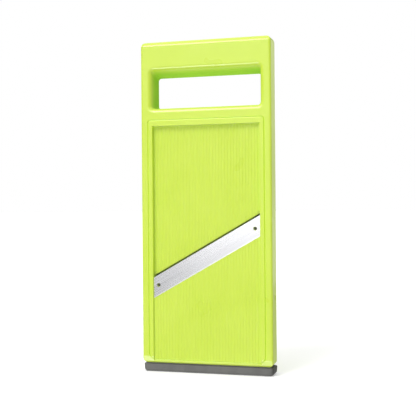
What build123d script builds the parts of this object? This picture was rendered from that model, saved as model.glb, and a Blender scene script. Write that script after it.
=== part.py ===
from build123d import *
import math
import os

# Hand-held mandoline slicer, standing on its foot.
# Millimetres. +Z up, the slicing face towards -Y, +X to the right.
# The origin is the middle of the bounding box's underside.

# Overall
WIDTH = 110.0
HEIGHT = 272.8
FRONT = -10.0
BACK = 7.0
FIT_GAP = 0.05

# Frame
FRAME_BOTTOM = 7.5
TOP_CORNER_R = 4.5
LOW_CORNER_R = 3.8
FRONT_EDGE_R = 1.8
BACK_EDGE_R = 1.5
BAR_CROWN_R = 5.0
TOE_TOP = 13.0
TOE_MID = 8.7
CORE_SKIN = 3.2
CORE_RIB = 1.6
CORE_CELLS = 8

# Handle window
WINDOW_FRONT_R = 3.6
WINDOW_BACK_R = 1.4
WINDOW_HALF_W = 46.5
WINDOW_LOW = 217.4
WINDOW_HIGH = 249.9
WINDOW_BACK_HALF_W = 44.2
WINDOW_BACK_LOW = 218.4
WINDOW_BACK_HIGH = 243.7
WINDOW_CORNER_R = 2.5

# Slicing insert
INSERT_HALF_W = 49.0
INSERT_LOW = 10.3
INSERT_HIGH = 207.9
INSERT_TOP_R = 2.0
INSERT_LOW_R = 6.0
FLANGE_T = 2.9
SEAM = 0.2
SEAM_EDGE_R = 0.6
WALL_HALF_W = 45.25
WALL_HIGH = 203.0
SKIRT_T = 1.6
SKIRT_LOW = 14.4
SKIRT_BACK = -1.0
SKIRT_GAP = 0.35
UPPER_RUN = -6.6
LOWER_RUN = -8.6
RUN_T = 2.2

# Fine ribs of the runways
RIB_PITCH = 2.5
RIB_TOP_W = 0.9
RIB_FOOT_W = 1.5
RIB_H = 0.22
RIB_COUNT = 35

# Blade and throat
BLADE_ANGLE = 29.6
EDGE_MID_Z = 103.5
BLADE_W = 14.7
BLADE_T = 1.0
BLADE_HALF_SPAN = 46.4
BLADE_BEVEL_W = 2.5
BLADE_EDGE_T = 0.1
BLADE_PLAY = 0.1
THROAT_GAP = 1.6
RAMP_T = 1.2
RAMP_FROM_Y = -4.0
RAMP_END = 2.4
SEAT_FROM = 4.8
SEAT_BACK = -2.6

# Blade pins
PIN_X = 41.0
PIN_R = 1.25
PIN_HOLE_R = 1.6
PIN_TOP = -7.9
PIN_END = -3.4

# Foot
FOOT_FRONT = -8.3
FOOT_BACK = 10.0
FOOT_TOP = 6.4
FOOT_NECK_INSET = 1.2
FOOT_TAPER = 4.0
FOOT_CORNER_R = 3.0
FOOT_LOW_R = 2.4
FOOT_HIGH_R = 0.4
TONGUE_HALF_W = 48.0
TONGUE_FRONT = -4.5
TONGUE_BACK = 4.0
TONGUE_LOW = 2.6

TAN_A = math.tan(math.radians(BLADE_ANGLE))
COS_A = math.cos(math.radians(BLADE_ANGLE))
SIN_A = math.sin(math.radians(BLADE_ANGLE))


def prism(sketch, y_from, y_to):
    """A sketch drawn in X and Z, made solid between two depths."""
    return extrude(Plane.XZ.offset(-y_to) * sketch, amount=y_to - y_from)


def slab(x_from, x_to, y_from, y_to, z_from, z_to):
    """A box given by its limits."""
    middle = ((x_from + x_to) / 2, (y_from + y_to) / 2, (z_from + z_to) / 2)
    return Pos(*middle) * Box(x_to - x_from, y_to - y_from, z_to - z_from)


def rounded_outline(half_w, low, high, low_r, high_r):
    """A rectangle in X and Z with its own corner radius at the bottom and at the top."""
    face = Pos(0, (low + high) / 2) * Rectangle(2 * half_w, high - low)
    face = fillet(face.vertices().sort_by(Axis.Y)[:2], low_r)
    return fillet(face.vertices().sort_by(Axis.Y)[-2:], high_r)


def rectangle(half_w, low, high):
    """A plain rectangle in X and Z."""
    return Pos(0, (low + high) / 2) * Rectangle(2 * half_w, high - low)


def edge_z(x, back):
    """Height of the line parallel to the cutting edge and this far behind it."""
    return EDGE_MID_Z + TAN_A * x - back / COS_A


def band(x_from, x_to, back_from, back_to):
    """A slanting four-sided outline between two lines parallel to the cutting edge."""
    points = [
        (x_from, edge_z(x_from, back_from)),
        (x_to, edge_z(x_to, back_from)),
        (x_to, edge_z(x_to, back_to)),
        (x_from, edge_z(x_from, back_to)),
    ]
    return make_face(Polyline(*points, close=True))


def half_space(back, below):
    """Everything below, or above, the line this far behind the cutting edge."""
    far = -200.0 if below else 400.0
    points = [(-60, edge_z(-60, back)), (60, edge_z(60, back)), (60, far), (-60, far)]
    return prism(make_face(Polyline(*points, close=True)), -20, 20)


def toe_wedge():
    """What is taken off the front at the bottom, where the rails run down to the end bar."""
    slope = (TOE_TOP - TOE_MID) / (LOWER_RUN - FRONT)
    points = [
        (FRONT - 1, TOE_TOP + slope),
        (LOWER_RUN, TOE_MID),
        (LOWER_RUN + TOE_MID - FRAME_BOTTOM, FRAME_BOTTOM),
        (LOWER_RUN + TOE_MID - FRAME_BOTTOM, FRAME_BOTTOM - 2),
        (FRONT - 1, FRAME_BOTTOM - 2),
    ]
    face = Plane.YZ.offset(-WIDTH) * make_face(Polyline(*points, close=True))
    return extrude(face, amount=2 * WIDTH)


def crown_cutter():
    """The square corner outside the large round along the handle bar's top front edge."""
    reach = 0.15
    middle_y = FRONT + BAR_CROWN_R - reach
    middle_z = HEIGHT - BAR_CROWN_R + reach
    corner = slab(-WIDTH, WIDTH, FRONT - 2, middle_y, middle_z, HEIGHT + 2)
    rod = Pos(0, middle_y, middle_z) * Rot(0, 90, 0) * Cylinder(BAR_CROWN_R, 3 * WIDTH)
    return corner - rod


def window_cutter():
    """The handle window, narrowing from the front to the back."""
    r = WINDOW_CORNER_R
    front = rounded_outline(WINDOW_HALF_W, WINDOW_LOW, WINDOW_HIGH, r, r)
    rear = rounded_outline(WINDOW_BACK_HALF_W, WINDOW_BACK_LOW, WINDOW_BACK_HIGH, r, r)
    front_face = (Plane.XZ.offset(-FRONT) * front).face()
    rear_face = (Plane.XZ.offset(-BACK) * rear).face()
    return loft([front_face, rear_face])


def core_row(count, x_from, x_to, z_from, z_to, y_from):
    """Pockets side by side from left to right, with a rib between each two."""
    step = (x_to - x_from) / count
    pockets = []
    for i in range(count):
        low = x_from + i * step + CORE_RIB / 2
        high = x_from + (i + 1) * step - CORE_RIB / 2
        pockets.append(slab(low, high, y_from, BACK + 1, z_from, z_to))
    return pockets


def core_column(count, side, x_near, x_far, z_from, z_to, y_from):
    """Pockets one above the other in one rail, with a rib between each two."""
    step = (z_to - z_from) / count
    x_low = min(side * x_near, side * x_far)
    x_high = max(side * x_near, side * x_far)
    pockets = []
    for i in range(count):
        low = z_from + i * step + CORE_RIB / 2
        high = z_from + (i + 1) * step - CORE_RIB / 2
        pockets.append(slab(x_low, x_high, y_from, BACK + 1, low, high))
    return pockets


def core_pockets():
    """The hollows in the back of the frame: handle bar, cross bar and both rails."""
    deep = FRONT + CORE_SKIN
    pockets = core_row(CORE_CELLS, -51.6, 51.6, 253.6, 269.4, deep + 1.0)
    pockets += core_row(CORE_CELLS, -51.6, 51.6, 209.4, 214.8, deep)
    for side in (-1, 1):
        pockets += core_column(1, side, 48.2, 51.8, 218.0, 251.6, deep)
        pockets += core_column(CORE_CELLS, side, 49.9, 52.4, 12.0, 206.0, deep + 2.8)
    return pockets


def make_frame():
    outline = rounded_outline(WIDTH / 2, FRAME_BOTTOM, HEIGHT, LOW_CORNER_R, TOP_CORNER_R)
    body = prism(outline, FRONT, BACK)
    body = fillet(body.faces().sort_by(Axis.Y)[0].edges(), FRONT_EDGE_R)
    body = fillet(body.faces().sort_by(Axis.Y)[-1].edges(), BACK_EDGE_R)
    body = body - crown_cutter()

    # Handle window, with its front and back edges eased
    body = body - window_cutter()
    front_face = body.faces().filter_by(Axis.Y).sort_by(Axis.Y)[0]
    body = fillet(front_face.inner_wires()[0].edges(), WINDOW_FRONT_R)
    back_face = body.faces().filter_by(Axis.Y).sort_by(Axis.Y)[-1]
    body = fillet(back_face.inner_wires()[0].edges(), WINDOW_BACK_R)

    # Rebate for the insert's rim, with its front edge eased
    rim = rounded_outline(
        INSERT_HALF_W + SEAM,
        INSERT_LOW - SEAM,
        INSERT_HIGH + SEAM,
        INSERT_LOW_R + SEAM,
        INSERT_TOP_R + SEAM,
    )
    body = body - prism(rim, FRONT - 1, FRONT + FLANGE_T + FIT_GAP)
    front_face = body.faces().filter_by(Axis.Y).sort_by(Axis.Y)[0]
    seam_edges = front_face.inner_wires().sort_by(SortBy.LENGTH)[-1].edges()
    body = fillet(seam_edges, SEAM_EDGE_R)

    # Opening behind the insert
    opening = rounded_outline(
        WALL_HALF_W + SKIRT_T + SKIRT_GAP,
        SKIRT_LOW - SKIRT_GAP,
        WALL_HIGH + SKIRT_T + SKIRT_GAP,
        1.5,
        1.5,
    )
    body = body - prism(opening, FRONT - 1, BACK + 1)

    for pocket in core_pockets():
        body = body - pocket

    # End bar level with the lower runway, between the two rails
    body = body - slab(-WALL_HALF_W, WALL_HALF_W, FRONT - 1, LOWER_RUN, 0, SKIRT_LOW)
    body = body - toe_wedge()

    # Tongue that holds the foot
    tongue = slab(
        -TONGUE_HALF_W, TONGUE_HALF_W, TONGUE_FRONT, TONGUE_BACK, TONGUE_LOW, FRAME_BOTTOM + 1
    )
    return body + tongue


def ribbed_plate(level, z_from, z_to):
    """A plate whose front carries fine upright ribs with their tops at this depth."""
    half = WALL_HALF_W + 0.4
    points = [(-half, level + RUN_T + RIB_H)]
    points.append((-half, level + RIB_H))
    first = -(RIB_COUNT - 1) / 2 * RIB_PITCH
    for i in range(RIB_COUNT):
        x = first + i * RIB_PITCH
        points.append((x - RIB_FOOT_W / 2, level + RIB_H))
        points.append((x - RIB_TOP_W / 2, level))
        points.append((x + RIB_TOP_W / 2, level))
        points.append((x + RIB_FOOT_W / 2, level + RIB_H))
    points.append((half, level + RIB_H))
    points.append((half, level + RUN_T + RIB_H))
    face = Pos(0, 0, z_from) * make_face(Polyline(*points, close=True))
    return extrude(face, amount=z_to - z_from, dir=(0, 0, 1))


def across_blade(points):
    """A section across the blade, from (how far behind the cutting edge, depth) points, run along it."""
    across = (SIN_A, 0, -COS_A)
    along = (COS_A, 0, SIN_A)
    section = Plane(origin=(0, 0, EDGE_MID_Z), x_dir=across, z_dir=along)
    flip = 1 if section.y_dir.Y > 0 else -1
    face = section * make_face(Polyline(*[(u, flip * v) for u, v in points], close=True))
    return extrude(face, amount=80, both=True)


def throat_ramp(half_w):
    """The slope behind the throat that leads each slice down and out at the back."""
    points = [
        (-THROAT_GAP - 2.0, RAMP_FROM_Y - 0.6),
        (-THROAT_GAP, RAMP_FROM_Y - 0.6),
        (-THROAT_GAP, RAMP_FROM_Y),
        (RAMP_END, SKIRT_BACK - 0.5),
        (RAMP_END, SKIRT_BACK),
        (RAMP_END - 2.0, SKIRT_BACK),
        (-THROAT_GAP - 2.0, RAMP_FROM_Y + RAMP_T),
    ]
    return across_blade(points) & slab(-half_w, half_w, -20, 20, 0, HEIGHT)


def make_insert():
    # Rim on three sides, with eased edges. The tray it leaves runs out at the bottom
    outline = rounded_outline(INSERT_HALF_W, INSERT_LOW, INSERT_HIGH, INSERT_LOW_R, INSERT_TOP_R)
    whole = prism(outline, FRONT, FRONT + FLANGE_T)
    rim = whole - prism(rectangle(WALL_HALF_W, 0, WALL_HIGH), FRONT - 1, FRONT + FLANGE_T + 1)
    rim = fillet(rim.faces().sort_by(Axis.Y)[0].edges(), SEAM_EDGE_R)

    # Skirt that drops into the frame's opening
    skirt = prism(
        rounded_outline(WALL_HALF_W + SKIRT_T, SKIRT_LOW, WALL_HIGH + SKIRT_T, 1.2, 1.2),
        FRONT + FLANGE_T - 0.5,
        SKIRT_BACK,
    )
    skirt = skirt - prism(
        rectangle(WALL_HALF_W, SKIRT_LOW + SKIRT_T, WALL_HIGH), FRONT, SKIRT_BACK + 1
    )

    # Upper runway, ending at the throat
    upper = ribbed_plate(UPPER_RUN, INSERT_LOW, WALL_HIGH + 0.4)
    upper = upper & half_space(-THROAT_GAP, False)

    # Lower runway, from the blade's back edge down to the rim's bottom edge
    lower = ribbed_plate(LOWER_RUN, INSERT_LOW, WALL_HIGH)
    lower = lower & half_space(BLADE_W + BLADE_PLAY, True)
    lower = lower - slab(-WIDTH, WIDTH, FRONT + FLANGE_T, BACK, 0, SKIRT_LOW)
    lower = lower & prism(outline, FRONT - 1, BACK)

    # Seat under the back two thirds of the blade
    half = WALL_HALF_W + 0.4
    seat = prism(band(-half, half, SEAT_FROM, BLADE_W + 3.5), LOWER_RUN + BLADE_T, SEAT_BACK)

    body = rim + skirt + upper + lower + seat + throat_ramp(half)

    # Stiffening ribs on the back of both runways
    for x in (-23.0, 0.0, 23.0):
        low = edge_z(x + 0.8, -THROAT_GAP - 6.0)
        body = body + slab(x - 0.8, x + 0.8, UPPER_RUN + RUN_T, SKIRT_BACK, low, WALL_HIGH + 0.4)
        high = edge_z(x - 0.8, BLADE_W)
        body = body + slab(x - 0.8, x + 0.8, LOWER_RUN + RUN_T, SKIRT_BACK, SKIRT_LOW + 0.4, high)

    # Slots in the side walls for the blade's ends. The right one is open, to slide the blade in
    body = body - prism(
        band(-BLADE_HALF_SPAN - 0.2, INSERT_HALF_W + 1, -BLADE_PLAY, BLADE_W + BLADE_PLAY),
        LOWER_RUN - FIT_GAP,
        LOWER_RUN + BLADE_T,
    )

    # Bores for the pins
    for x in (-PIN_X, PIN_X):
        body = body - pin_rod(x, PIN_R + FIT_GAP, LOWER_RUN, PIN_END + FIT_GAP)
    return body - toe_wedge()


def pin_rod(x, radius, y_from, y_to):
    """A round rod along the depth, on the blade's middle line."""
    z = edge_z(x, BLADE_W / 2)
    length = y_to - y_from
    return Pos(x, (y_from + y_to) / 2, z) * Rot(90, 0, 0) * Cylinder(radius, length)


def make_blade():
    # Section across the blade, its bevel on the back
    points = [
        (0, LOWER_RUN),
        (BLADE_W, LOWER_RUN),
        (BLADE_W, LOWER_RUN + BLADE_T),
        (BLADE_BEVEL_W, LOWER_RUN + BLADE_T),
        (0, LOWER_RUN + BLADE_EDGE_T),
    ]
    blade = across_blade(points) & slab(-BLADE_HALF_SPAN, BLADE_HALF_SPAN, -20, 20, 0, HEIGHT)
    for x in (-PIN_X, PIN_X):
        blade = blade - pin_rod(x, PIN_HOLE_R, -20, 20)
    return blade


def make_pins():
    pins = []
    for x in (-PIN_X, PIN_X):
        pin = pin_rod(x, PIN_R, PIN_TOP, PIN_END)
        rims = pin.edges().filter_by(GeomType.CIRCLE).sort_by(Axis.Y)
        pins.append(chamfer(rims[0], 0.25))
    return Compound(children=pins)


def make_foot():
    depth = FOOT_BACK - FOOT_FRONT
    mid_y = (FOOT_FRONT + FOOT_BACK) / 2
    plan = Pos(0, mid_y) * Rectangle(WIDTH, depth)
    plan = fillet(plan.vertices(), FOOT_CORNER_R)
    body = extrude(Pos(0, 0, FOOT_TOP) * plan, amount=FOOT_TOP, dir=(0, 0, -1), taper=FOOT_TAPER)
    low_edges = body.faces().sort_by(Axis.Z)[0].edges()
    body = fillet(low_edges, FOOT_LOW_R)
    high_edges = body.faces().sort_by(Axis.Z)[-1].edges()
    body = fillet(high_edges, FOOT_HIGH_R)

    # Neck behind the shadow gap
    neck_half = WIDTH / 2 - 2.2
    neck = slab(
        -neck_half,
        neck_half,
        FOOT_FRONT + FOOT_NECK_INSET,
        BACK - 1.0,
        FOOT_TOP - 1,
        FRAME_BOTTOM,
    )
    body = body + neck

    socket = slab(
        -TONGUE_HALF_W - FIT_GAP,
        TONGUE_HALF_W + FIT_GAP,
        TONGUE_FRONT - FIT_GAP,
        TONGUE_BACK + FIT_GAP,
        TONGUE_LOW - FIT_GAP,
        FRAME_BOTTOM + 1,
    )
    return body - socket


os.makedirs("parts", exist_ok=True)
export_step(make_frame(), "parts/frame.step")
export_step(make_insert(), "parts/slicing_insert.step")
export_step(make_blade(), "parts/blade.step")
export_step(make_pins(), "parts/blade_pins.step")
export_step(make_foot(), "parts/foot.step")
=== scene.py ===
import math

import bpy
from mathutils import Matrix, Vector


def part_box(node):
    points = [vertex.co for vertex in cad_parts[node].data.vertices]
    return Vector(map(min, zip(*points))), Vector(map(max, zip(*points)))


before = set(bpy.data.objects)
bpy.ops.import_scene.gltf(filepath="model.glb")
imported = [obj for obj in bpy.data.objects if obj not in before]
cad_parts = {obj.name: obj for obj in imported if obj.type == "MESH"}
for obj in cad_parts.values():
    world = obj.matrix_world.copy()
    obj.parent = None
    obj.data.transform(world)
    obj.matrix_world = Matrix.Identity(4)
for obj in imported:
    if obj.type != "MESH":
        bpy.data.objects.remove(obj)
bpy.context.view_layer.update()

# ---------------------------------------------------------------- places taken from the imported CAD
FRAME_LOW, FRAME_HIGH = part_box("frame")
BLADE_LOW, BLADE_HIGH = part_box("blade")
FOOT_LOW, FOOT_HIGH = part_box("foot")
BLADE_MIDDLE = (BLADE_LOW + BLADE_HIGH) / 2

# The handle window's middle and half size in the front, and the blade's slope and width, as in
# part.py
WINDOW_MIDDLE_Z = 0.2337
WINDOW_HALF_W = 0.0465
WINDOW_HALF_H = 0.0163
BLADE_ANGLE = math.radians(29.6)
BLADE_WIDTH = 0.0147
BLADE_UP = Vector((-math.sin(BLADE_ANGLE), 0, math.cos(BLADE_ANGLE)))
ALONG_BLADE = (0, BLADE_ANGLE, 0)

# ---------------------------------------------------------------- camera, fitted to the photo's view
VIEW_AZIMUTH = math.radians(16.0)
VIEW_DISTANCE = 0.7020
VIEW_SIDE_STEP = 0.00220
VIEW_HEIGHT = 0.1351
VIEW_ROLL = -0.008
LENS = 74.77
SENSOR = 36.0

# ---------------------------------------------------------------- light
# Each *_FROM is where a light stands, seen from the middle of the frame, which it faces
SKY_LOW = 0.10
SKY_TOP = 1.22
SKY_JUST_BELOW = 0.46
SKY_UNDER = 1.00
SUN_STRENGTH = 1.30
SUN_SPREAD = math.radians(24)
SUN_FROM = Vector((-0.30, -0.65, 0.76))
BOX_FROM = Vector((-0.23, -1.35, 0.24))
BOX_WIDTH = 0.56
BOX_HEIGHT = 0.75
BOX_POWER = 2.70
CROWN_FROM = Vector((-0.36, -0.88, 0.72))
CROWN_WIDTH = 0.50
CROWN_HEIGHT = 0.50
CROWN_POWER = 9.0
GLOW_FROM = Vector((-0.331, -0.883, -0.742))
GLOW_WIDTH = 0.50
GLOW_HEIGHT = 0.34
GLOW_POWER = 9.0
RIM_FROM = Vector((0.115, 0.20, 0.05))
RIM_WIDTH = 0.05
RIM_HEIGHT = 0.28
RIM_POWER = 0.05
FLOOR_RADIUS = 30.0


# ---------------------------------------------------------------- short helpers for node materials
def start_material(name):
    """A new material with its node tree, and its Principled shader."""
    material = bpy.data.materials.new(name)
    material.use_nodes = True
    tree = material.node_tree
    return material, tree, tree.nodes["Principled BSDF"]


def put(tree, kind, inputs=None, **settings):
    """Adds a node, sets its settings, and sets or links its inputs."""
    node = tree.nodes.new(kind)
    for key, value in settings.items():
        setattr(node, key, value)
    for key, value in (inputs or {}).items():
        if isinstance(value, bpy.types.NodeSocket):
            tree.links.new(value, node.inputs[key])
        else:
            node.inputs[key].default_value = value
    return node


def math_node(tree, operation, first, second=0.0, clamp=False):
    """One sum on two sockets or numbers."""
    node = put(tree, "ShaderNodeMath", {0: first, 1: second}, operation=operation, use_clamp=clamp)
    return node.outputs[0]


def spread(tree, value, low, high, to_low=0.0, to_high=1.0):
    """Maps low..high to to_low..to_high smoothly, held at both ends."""
    node = put(tree, "ShaderNodeMapRange",
               {"Value": value, "From Min": low, "From Max": high,
                "To Min": to_low, "To Max": to_high},
               interpolation_type="SMOOTHSTEP")
    return node.outputs["Result"]


def mix_colour(tree, factor, first, second):
    """The first colour where the factor is 0, the second where it is 1."""
    node = tree.nodes.new("ShaderNodeMix")
    node.data_type = "RGBA"
    for key, value in ((0, factor), (6, first), (7, second)):
        if isinstance(value, bpy.types.NodeSocket):
            tree.links.new(value, node.inputs[key])
        else:
            node.inputs[key].default_value = value
    return node.outputs[2]


def place(tree, stretch=(1, 1, 1), turn=(0, 0, 0)):
    """The point on the piece in metres, in the part's own frame, turned and then stretched."""
    coordinates = tree.nodes.new("ShaderNodeTexCoord")
    turned = put(tree, "ShaderNodeMapping",
                 {"Rotation": turn, "Vector": coordinates.outputs["Object"]})
    stretched = put(tree, "ShaderNodeMapping",
                    {"Scale": stretch, "Vector": turned.outputs["Vector"]})
    return stretched.outputs["Vector"]


def noise(tree, where, scale, detail=2.0, roughness=0.5, distortion=0.0):
    node = put(tree, "ShaderNodeTexNoise",
               {"Vector": where, "Scale": scale, "Detail": detail, "Roughness": roughness,
                "Distortion": distortion})
    return node.outputs["Fac"]


def rounded(tree, radius):
    """The surface normal with every edge softened over the radius."""
    return put(tree, "ShaderNodeBevel", {"Radius": radius}, samples=6).outputs["Normal"]


def edge_mask(tree, soft_normal, low, high):
    """0 on flat faces, rising to 1 where the softened normal turns from the true one."""
    geometry = tree.nodes.new("ShaderNodeNewGeometry")
    dot = put(tree, "ShaderNodeVectorMath", {0: soft_normal,
                                             1: geometry.outputs["Normal"]},
              operation="DOT_PRODUCT")
    turned = math_node(tree, "SUBTRACT", 1.0, dot.outputs["Value"])
    return spread(tree, turned, low, high)


def hollow_mask(tree, reach, open_to, shut_at):
    """0 on open faces, rising to 1 in gaps and corners that are closed in within the reach."""
    node = put(tree, "ShaderNodeAmbientOcclusion", {"Distance": reach}, samples=8)
    return spread(tree, node.outputs["AO"], open_to, shut_at)


def axes(tree):
    """The point on the piece in metres, in the part's own frame: its X, Y and Z."""
    coordinates = tree.nodes.new("ShaderNodeTexCoord")
    split = put(tree, "ShaderNodeSeparateXYZ", {0: coordinates.outputs["Object"]})
    return split.outputs["X"], split.outputs["Y"], split.outputs["Z"]


def height_on_blade(tree):
    """How far the point lies above the blade's middle line, square to it."""
    coordinates = tree.nodes.new("ShaderNodeTexCoord")
    offset = put(tree, "ShaderNodeVectorMath",
                 {0: coordinates.outputs["Object"], 1: Vector((0, 0, BLADE_MIDDLE.z))},
                 operation="SUBTRACT")
    height = put(tree, "ShaderNodeVectorMath", {0: offset.outputs[0], 1: BLADE_UP},
                 operation="DOT_PRODUCT")
    return height.outputs["Value"]


def window_depth(tree):
    """0 on the front face, rising to 1 going in along the handle window's inner walls."""
    x, y, z = axes(tree)
    across = spread(tree, math_node(tree, "ABSOLUTE", x), WINDOW_HALF_W + 0.0005,
                    WINDOW_HALF_W - 0.0003)
    height = math_node(tree, "ABSOLUTE", math_node(tree, "SUBTRACT", z, WINDOW_MIDDLE_Z))
    upright = spread(tree, height, WINDOW_HALF_H + 0.0015, WINDOW_HALF_H + 0.0005)
    going_in = spread(tree, y, FRAME_LOW.y + 0.0004, FRAME_LOW.y + 0.0100)
    short_of_back = spread(tree, y, FRAME_HIGH.y - 0.0001, FRAME_HIGH.y - 0.0008)
    depth = math_node(tree, "MULTIPLY", going_in, short_of_back)
    return math_node(tree, "MULTIPLY", depth, math_node(tree, "MULTIPLY", across, upright))


def throat_mask(tree):
    """1 close to the line of the blade's cutting edge, between the tray's walls; else 0."""
    x = axes(tree)[0]
    above_edge = math_node(tree, "SUBTRACT", height_on_blade(tree), BLADE_WIDTH / 2)
    near_edge = spread(tree, math_node(tree, "ABSOLUTE", above_edge), 0.0045, 0.0030)
    between = spread(tree, math_node(tree, "ABSOLUTE", x), BLADE_HIGH.x - 0.0012,
                     BLADE_HIGH.x - 0.0020)
    return math_node(tree, "MULTIPLY", between, near_edge)


def bump(tree, height, distance, strength, normal=None):
    """The normal of a surface raised by the height, on top of another normal if one is given."""
    inputs = {"Height": height, "Distance": distance, "Strength": strength}
    if normal is not None:
        inputs["Normal"] = normal
    return put(tree, "ShaderNodeBump", inputs).outputs["Normal"]


# ---------------------------------------------------------------- materials
def lime_plastic(name, rub):
    """Glossy moulded lime plastic. rub is how far food and hands have scratched its faces.
    It lets some light through. Painted shade darkens its narrow gaps and corners, a painted glow
    lightens them outside the throat, painted shade makes the handle window's inner walls a deeper
    green and they are matter there, and painted shade turns the throat over the blade nearly black."""
    material, tree, shader = start_material(name)
    here = place(tree)
    clouds = noise(tree, here, 26, 3, 0.55)
    flow = noise(tree, place(tree, (1, 1, 0.22)), 150, 3, 0.6, 0.4)
    grain = noise(tree, here, 2600, 2, 0.5)
    orange_peel = noise(tree, here, 420, 2, 0.5)

    deep = (0.640, 0.820, 0.074, 1)
    pale = (0.668, 0.840, 0.090, 1)
    worn = (0.740, 0.870, 0.260, 1)
    colour = mix_colour(tree, spread(tree, clouds, 0.30, 0.70), deep, pale)
    colour = mix_colour(tree, spread(tree, flow, 0.35, 0.75, 0.0, 0.22), colour, pale)
    soft_normal = rounded(tree, 0.0007)
    edges = edge_mask(tree, soft_normal, 0.02, 0.22)
    patchy = spread(tree, noise(tree, here, 210, 3, 0.6), 0.42, 0.62)
    wear = math_node(tree, "MULTIPLY", edges, patchy)
    colour = mix_colour(tree, math_node(tree, "MULTIPLY", wear, 0.12), colour, worn)

    # Painted shade: the handle window's inner walls are coloured a darker, deeper green.
    inside = window_depth(tree)
    colour = mix_colour(tree, math_node(tree, "MULTIPLY", inside, 0.90), colour,
                        (0.350, 0.700, 0.002, 1))
    # Painted shade: gaps and corners closed in within 4 mm are coloured a darker olive green.
    crevice_shade_and_glow = hollow_mask(tree, 0.004, 0.42, 0.14)
    colour = mix_colour(tree, math_node(tree, "MULTIPLY", crevice_shade_and_glow, 0.28), colour,
                        (0.380, 0.590, 0.010, 1))
    # Painted shade: close to the blade's cutting edge, the closed-in throat is coloured nearly
    # black.
    closed_in = hollow_mask(tree, 0.007, 0.62, 0.34)
    throat = throat_mask(tree)
    throat_shade = math_node(tree, "MULTIPLY", closed_in, throat)
    colour = mix_colour(tree, math_node(tree, "MULTIPLY", throat_shade, 0.96), colour,
                        (0.022, 0.028, 0.003, 1))

    scratches = noise(tree, place(tree, (1, 1, 0.035), (0, 0.06, 0)), 900, 2, 0.5)
    scratch = spread(tree, scratches, 0.66, 0.76)
    colour = mix_colour(tree, math_node(tree, "MULTIPLY", scratch, 0.16 * rub), colour, worn)
    tree.links.new(colour, shader.inputs["Base Color"])

    gloss = spread(tree, clouds, 0.25, 0.75, 0.27, 0.31)
    gloss = math_node(tree, "ADD", gloss, math_node(tree, "MULTIPLY", scratch, 0.12 * rub))
    gloss = math_node(tree, "SUBTRACT", gloss, math_node(tree, "MULTIPLY", wear, 0.05))
    gloss = math_node(tree, "ADD", gloss, spread(tree, inside, 0.05, 0.50, 0.0, 0.45))
    tree.links.new(gloss, shader.inputs["Roughness"])
    # Painted glow: outside the throat, the same gaps and corners give off a little light in the
    # plastic's own colour.
    glow = math_node(tree, "MULTIPLY", crevice_shade_and_glow, math_node(tree, "SUBTRACT", 1.0, throat, True))
    tree.links.new(colour, shader.inputs["Emission Color"])
    tree.links.new(math_node(tree, "MULTIPLY", glow, 0.30), shader.inputs["Emission Strength"])

    fine = bump(tree, grain, 0.000010, 0.55, soft_normal)
    peel = bump(tree, orange_peel, 0.000035, 0.35, fine)
    scored = bump(tree, scratch, -0.000018, 0.5 * rub, peel)
    tree.links.new(scored, shader.inputs["Normal"])
    shader.inputs["IOR"].default_value = 1.49
    shader.inputs["Subsurface Weight"].default_value = 0.30
    shader.inputs["Subsurface Radius"].default_value = (1.0, 1.0, 0.35)
    shader.inputs["Subsurface Scale"].default_value = 0.0012
    return material


def blade_steel(name):
    """Brushed stainless steel, its grain along the blade, with a painted highlight on its edges and
    a brighter painted highlight along its back edge.
    """
    material, tree, shader = start_material(name)
    along = place(tree, (14, 60, 2600), ALONG_BLADE)
    brushing = noise(tree, along, 1.0, 3, 0.65)
    wide = noise(tree, place(tree, (6, 10, 260), ALONG_BLADE), 1.0, 2, 0.5)
    smears = noise(tree, place(tree), 55, 3, 0.6)

    light = (0.720, 0.720, 0.735, 1)
    dull = (0.655, 0.657, 0.680, 1)
    colour = mix_colour(tree, spread(tree, brushing, 0.30, 0.70), dull, light)
    colour = mix_colour(tree, spread(tree, smears, 0.55, 0.80, 0.0, 0.20), colour, dull)
    # Painted highlight: the edges are coloured a brighter steel.
    edges = edge_mask(tree, rounded(tree, 0.0003), 0.05, 0.35)
    colour = mix_colour(tree, math_node(tree, "MULTIPLY", edges, 0.6), colour,
                        (0.900, 0.900, 0.905, 1))
    # Painted highlight: a thin band along the back edge is coloured nearly white.
    back_edge = spread(tree, height_on_blade(tree), 0.0010 - BLADE_WIDTH / 2,
                       0.0003 - BLADE_WIDTH / 2)
    colour = mix_colour(tree, math_node(tree, "MULTIPLY", back_edge, 0.9), colour,
                        (0.970, 0.970, 0.975, 1))
    tree.links.new(colour, shader.inputs["Base Color"])

    rough = spread(tree, brushing, 0.25, 0.75, 0.22, 0.29)
    rough = math_node(tree, "ADD", rough, spread(tree, wide, 0.35, 0.70, 0.0, 0.05))
    rough = math_node(tree, "ADD", rough, spread(tree, smears, 0.50, 0.80, 0.0, 0.02))
    tree.links.new(rough, shader.inputs["Roughness"])
    tree.links.new(bump(tree, brushing, 0.000001, 0.3), shader.inputs["Normal"])
    shader.inputs["Metallic"].default_value = 1.0
    shader.inputs["Anisotropic"].default_value = 0.35
    return material


def pin_plastic(name):
    """The moulding's own plastic, coloured nearly black as painted shade, sunk in the blade's two
    holes.
    """
    material, tree, shader = start_material(name)
    here = place(tree)
    marks = noise(tree, here, 1900, 3, 0.6)
    shade_patches = noise(tree, here, 420, 2, 0.5)
    # Painted shade: the pins are coloured a near-black olive for the shadow in the holes, with
    # darker patches.
    colour = mix_colour(tree, spread(tree, marks, 0.35, 0.70),
                        (0.034, 0.038, 0.016, 1), (0.095, 0.102, 0.050, 1))
    colour = mix_colour(tree, spread(tree, shade_patches, 0.45, 0.70, 0.0, 0.5), colour,
                        (0.022, 0.024, 0.012, 1))
    tree.links.new(colour, shader.inputs["Base Color"])
    tree.links.new(spread(tree, marks, 0.3, 0.7, 0.34, 0.50), shader.inputs["Roughness"])
    tree.links.new(bump(tree, marks, 0.000012, 0.6), shader.inputs["Normal"])
    shader.inputs["IOR"].default_value = 1.49
    return material


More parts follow.
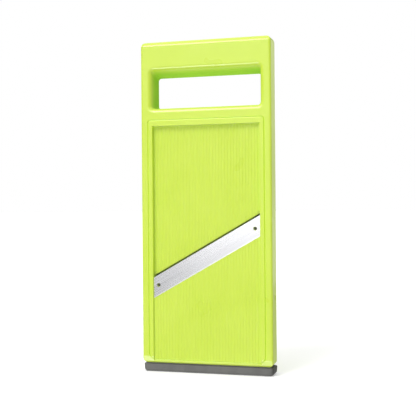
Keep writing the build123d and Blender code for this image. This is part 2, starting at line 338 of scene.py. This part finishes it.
def grey_rubber(name):
    """Soft grey rubber with a fine stipple and some dust, rubbed at its edges, with painted shade
    darkening its two end faces and its gaps.
    """
    material, tree, shader = start_material(name)
    here = place(tree)
    stipple = noise(tree, here, 3200, 2, 0.6)
    dust = noise(tree, here, 90, 4, 0.6)
    streaks = noise(tree, place(tree, (0.12, 1, 1)), 520, 2, 0.5)
    colour = mix_colour(tree, spread(tree, dust, 0.35, 0.70),
                        (0.120, 0.121, 0.112, 1), (0.155, 0.155, 0.145, 1))
    colour = mix_colour(tree, spread(tree, streaks, 0.50, 0.80, 0.0, 0.30), colour,
                        (0.176, 0.175, 0.167, 1))
    edges = edge_mask(tree, rounded(tree, 0.0008), 0.03, 0.25)
    colour = mix_colour(tree, math_node(tree, "MULTIPLY", edges, 0.30), colour,
                        (0.145, 0.148, 0.135, 1))
    # Painted shade: the two end faces are coloured much darker.
    aside = math_node(tree, "ABSOLUTE", axes(tree)[0])
    ends = spread(tree, aside, FOOT_HIGH.x - 0.0015, FOOT_HIGH.x - 0.0001)
    colour = mix_colour(tree, math_node(tree, "MULTIPLY", ends, 0.80), colour,
                        (0.052, 0.054, 0.044, 1))
    # Painted shade: gaps closed in within 3 mm are coloured nearly black.
    gaps = hollow_mask(tree, 0.003, 0.45, 0.15)
    colour = mix_colour(tree, math_node(tree, "MULTIPLY", gaps, 0.80), colour,
                        (0.020, 0.022, 0.016, 1))
    tree.links.new(colour, shader.inputs["Base Color"])
    rough = spread(tree, dust, 0.3, 0.7, 0.58, 0.72)
    rough = math_node(tree, "SUBTRACT", rough, math_node(tree, "MULTIPLY", edges, 0.14))
    tree.links.new(rough, shader.inputs["Roughness"])
    tree.links.new(bump(tree, stipple, 0.00003, 0.6), shader.inputs["Normal"])
    shader.inputs["Specular IOR Level"].default_value = 0.3
    return material


def floor_paint(name):
    """Matt white floor with the faintest mottle."""
    material, tree, shader = start_material(name)
    mottle = noise(tree, place(tree), 3, 3, 0.5)
    colour = mix_colour(tree, mottle, (0.93, 0.93, 0.93, 1), (0.95, 0.95, 0.95, 1))
    tree.links.new(colour, shader.inputs["Base Color"])
    tree.links.new(spread(tree, mottle, 0.3, 0.7, 0.85, 0.95), shader.inputs["Roughness"])
    shader.inputs["Specular IOR Level"].default_value = 0.1
    shader.inputs["Emission Color"].default_value = (1, 1, 1, 1)
    shader.inputs["Emission Strength"].default_value = 0.18
    return material


# ---------------------------------------------------------------- scene pieces
def finish_node(node, material):
    """Gives a CAD node its material in place of the plain one it came with."""
    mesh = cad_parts[node].data
    for index in range(len(mesh.materials)):
        mesh.materials[index] = material


def add_floor():
    bpy.ops.mesh.primitive_circle_add(vertices=96, radius=FLOOR_RADIUS, fill_type="NGON",
                                      location=(0, 0, FOOT_LOW.z - 0.0002))
    floor = bpy.context.object
    floor.name = "studio_floor"
    floor.data.materials.append(floor_paint("floor_paint"))
    floor.visible_glossy = False
    floor.visible_diffuse = False
    floor.visible_shadow = False


def aim(thing, place_at, target, roll=0.0):
    """Stands a light or the camera at a place, facing the target."""
    away = (place_at - target).normalized()
    turn = away.to_track_quat("Z", "Y").to_matrix().to_4x4()
    thing.matrix_world = Matrix.Translation(place_at) @ turn @ Matrix.Rotation(roll, 4, "Z")


def add_light(name, kind, place_at, target, **settings):
    lamp = bpy.data.lights.new(name, kind)
    for key, value in settings.items():
        setattr(lamp, key, value)
    thing = bpy.data.objects.new(name, lamp)
    bpy.context.scene.collection.objects.link(thing)
    aim(thing, place_at, target)
    return thing


def add_lights():
    middle = Vector((0, 0, (FRAME_LOW.z + FRAME_HIGH.z) / 2))
    add_light("sun_soft", "SUN", middle + SUN_FROM, middle,
              energy=SUN_STRENGTH, angle=SUN_SPREAD)
    box = add_light("front_box", "AREA", middle + BOX_FROM, middle, energy=BOX_POWER,
                    shape="RECTANGLE", size=BOX_WIDTH, size_y=BOX_HEIGHT)
    box.visible_camera = False
    crown = add_light("crown_box", "AREA", middle + CROWN_FROM, middle, energy=CROWN_POWER,
                      shape="RECTANGLE", size=CROWN_WIDTH, size_y=CROWN_HEIGHT)
    glow = add_light("low_glow", "AREA", middle + GLOW_FROM, middle, energy=GLOW_POWER,
                     shape="RECTANGLE", size=GLOW_WIDTH, size_y=GLOW_HEIGHT)
    rim = add_light("rim_strip", "AREA", middle + RIM_FROM, middle, energy=RIM_POWER,
                    shape="RECTANGLE", size=RIM_WIDTH, size_y=RIM_HEIGHT)
    for highlight in (crown, glow, rim):
        highlight.visible_camera = False
        highlight.visible_diffuse = False


def set_sky():
    """A soft sky, bright overhead and dim low down, seen by the camera as plain white.
    Below the horizon it stands in for the light that a white floor throws back."""
    world = bpy.data.worlds.new("studio")
    bpy.context.scene.world = world
    world.use_nodes = True
    tree = world.node_tree
    tree.nodes.clear()
    rays = tree.nodes.new("ShaderNodeLightPath")
    coordinates = tree.nodes.new("ShaderNodeTexCoord")
    split = put(tree, "ShaderNodeSeparateXYZ", {0: coordinates.outputs["Generated"]})
    sky = spread(tree, split.outputs["Z"], 0.0, 1.0, SKY_LOW, SKY_TOP)
    under = spread(tree, split.outputs["Z"], -0.10, -0.60, SKY_JUST_BELOW, SKY_UNDER)
    below = math_node(tree, "LESS_THAN", split.outputs["Z"], 0.0)
    sky = math_node(tree, "MAXIMUM", sky, math_node(tree, "MULTIPLY", below, under))
    strength = math_node(tree, "MAXIMUM", sky, rays.outputs["Is Camera Ray"])
    glow = put(tree, "ShaderNodeBackground", {"Color": (1, 1, 1, 1), "Strength": strength})
    out = tree.nodes.new("ShaderNodeOutputWorld")
    tree.links.new(glow.outputs[0], out.inputs["Surface"])


def add_camera():
    """The photo's view: level, a little to the right of the front, turned very slightly."""
    camera = bpy.data.cameras.new("camera")
    camera.lens = LENS
    camera.sensor_width = SENSOR
    camera.clip_end = 200
    thing = bpy.data.objects.new("camera", camera)
    bpy.context.scene.collection.objects.link(thing)
    back = Vector((math.sin(VIEW_AZIMUTH), -math.cos(VIEW_AZIMUTH), 0))
    right = Vector((math.cos(VIEW_AZIMUTH), math.sin(VIEW_AZIMUTH), 0))
    target = Vector((0, FRAME_LOW.y, VIEW_HEIGHT)) + right * VIEW_SIDE_STEP
    aim(thing, target + back * VIEW_DISTANCE, target, VIEW_ROLL)
    bpy.context.scene.camera = thing


finish_node("frame", lime_plastic("lime_frame", 0.5))
finish_node("slicing_insert", lime_plastic("lime_insert", 1.0))
finish_node("blade", blade_steel("blade_steel"))
finish_node("blade_pins", pin_plastic("pin_plastic"))
finish_node("foot", grey_rubber("grey_rubber"))
add_floor()
set_sky()
add_lights()
add_camera()

view = bpy.context.scene.view_settings
view.view_transform = "Standard"
view.look = "None"
